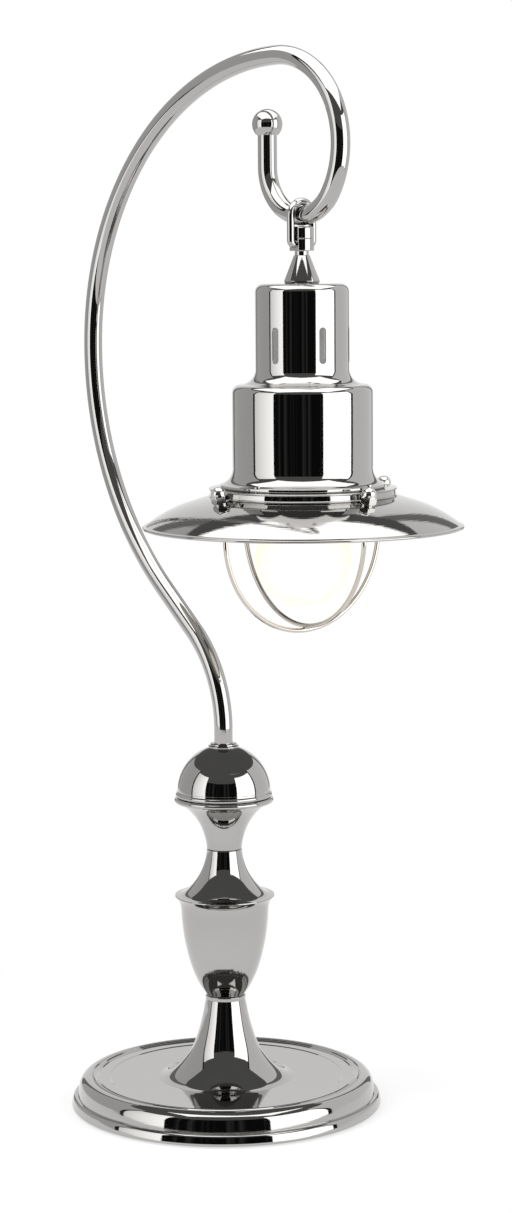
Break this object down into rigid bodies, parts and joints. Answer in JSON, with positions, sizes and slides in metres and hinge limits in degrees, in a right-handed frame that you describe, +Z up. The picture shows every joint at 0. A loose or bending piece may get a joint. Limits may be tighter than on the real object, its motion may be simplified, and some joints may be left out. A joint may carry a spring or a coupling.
{
  "type": "table lamp",
  "caption": "Tabletop searchlight lamp: round stepped foot, turned urn column, bent tube arm with a hook, and a vented two-drum head with a shallow dish and a wire guard, hung in a wire bail.",
  "frame": {"origin": "middle of the foot's underside, on the column's axis, on the table", "axes": "+Z up the column, +X towards the hook and the head, the arm lies in the XZ plane"},
  "size_m": [0.3081, 0.203, 0.6828],
  "materials": {
    "chrome": "polished chrome plate on spun, turned and bent steel",
    "plain_steel": "zinc-plated steel",
    "brass": "bright turned brass",
    "cast_weight": "black-painted casting",
    "felt": "black wool felt",
    "rubber": "matt moulded rubber",
    "block_plastic": "moulded, matt",
    "cable_sheath": "smooth silicone sheath",
    "holder_plastic": "black moulded thermoset",
    "ceramic": "glazed",
    "bulb_glass": "soft white coated glass, lit",
    "bulb_cap": "rolled thread, bright",
    "black_glass": "black insulator"
  },
  "bodies": {
    "stand": {"base_pad": "felt", "base_cover": "plain_steel", "cover_screws": "plain_steel", "base_weight": "cast_weight", "base_shell": "chrome", "cable_grommet": "rubber", "terminal_block": "block_plastic", "terminal_screws": "plain_steel", "tie_rod": "plain_steel", "base_washer": "plain_steel", "base_nut": "plain_steel", "trumpet_stem": "chrome", "urn_body": "chrome", "neck_flare": "chrome", "dome_cup": "chrome", "dome": "chrome", "collar_nut": "chrome", "arm_tube": "chrome", "hook_ball": "chrome", "arm_cable": "cable_sheath"},
    "bail": {"bail": "chrome"},
    "head": {"lug_block": "chrome", "cable_bush": "chrome", "cone_finial": "chrome", "head_cap": "chrome", "flange_ring": "chrome", "dish": "chrome", "ring_screws": "plain_steel", "guard_studs": "chrome", "guard_washers": "chrome", "acorn_nuts": "chrome", "guard_hoop_low": "chrome", "guard_hoop_high": "chrome", "cap_washer": "plain_steel", "cap_nut": "plain_steel", "rod_coupler": "brass", "holder_rod": "plain_steel", "holder_top": "holder_plastic", "holder_skirt": "holder_plastic", "holder_insert": "ceramic", "thread_shell": "brass", "centre_contact": "brass", "bulb_glass": "bulb_glass", "bulb_cap": "bulb_cap", "bulb_insulator": "black_glass", "bulb_contact": "brass", "filament_stem": "bulb_glass", "filament": "plain_steel", "head_cable": "cable_sheath"}
  },
  "joints": [
    {"name": "bail_swing", "type": "hinge", "parent": "stand", "child": "bail", "pos_m": [0.07547, 0, 0.57797], "axis": [1, 0, 0], "range_deg": [-20, 20]},
    {"name": "head_tilt", "type": "hinge", "parent": "bail", "child": "head", "pos_m": [0.07547, 0, 0.56037], "axis": [0, 1, 0], "range_deg": [-8, 8]}
  ]
}
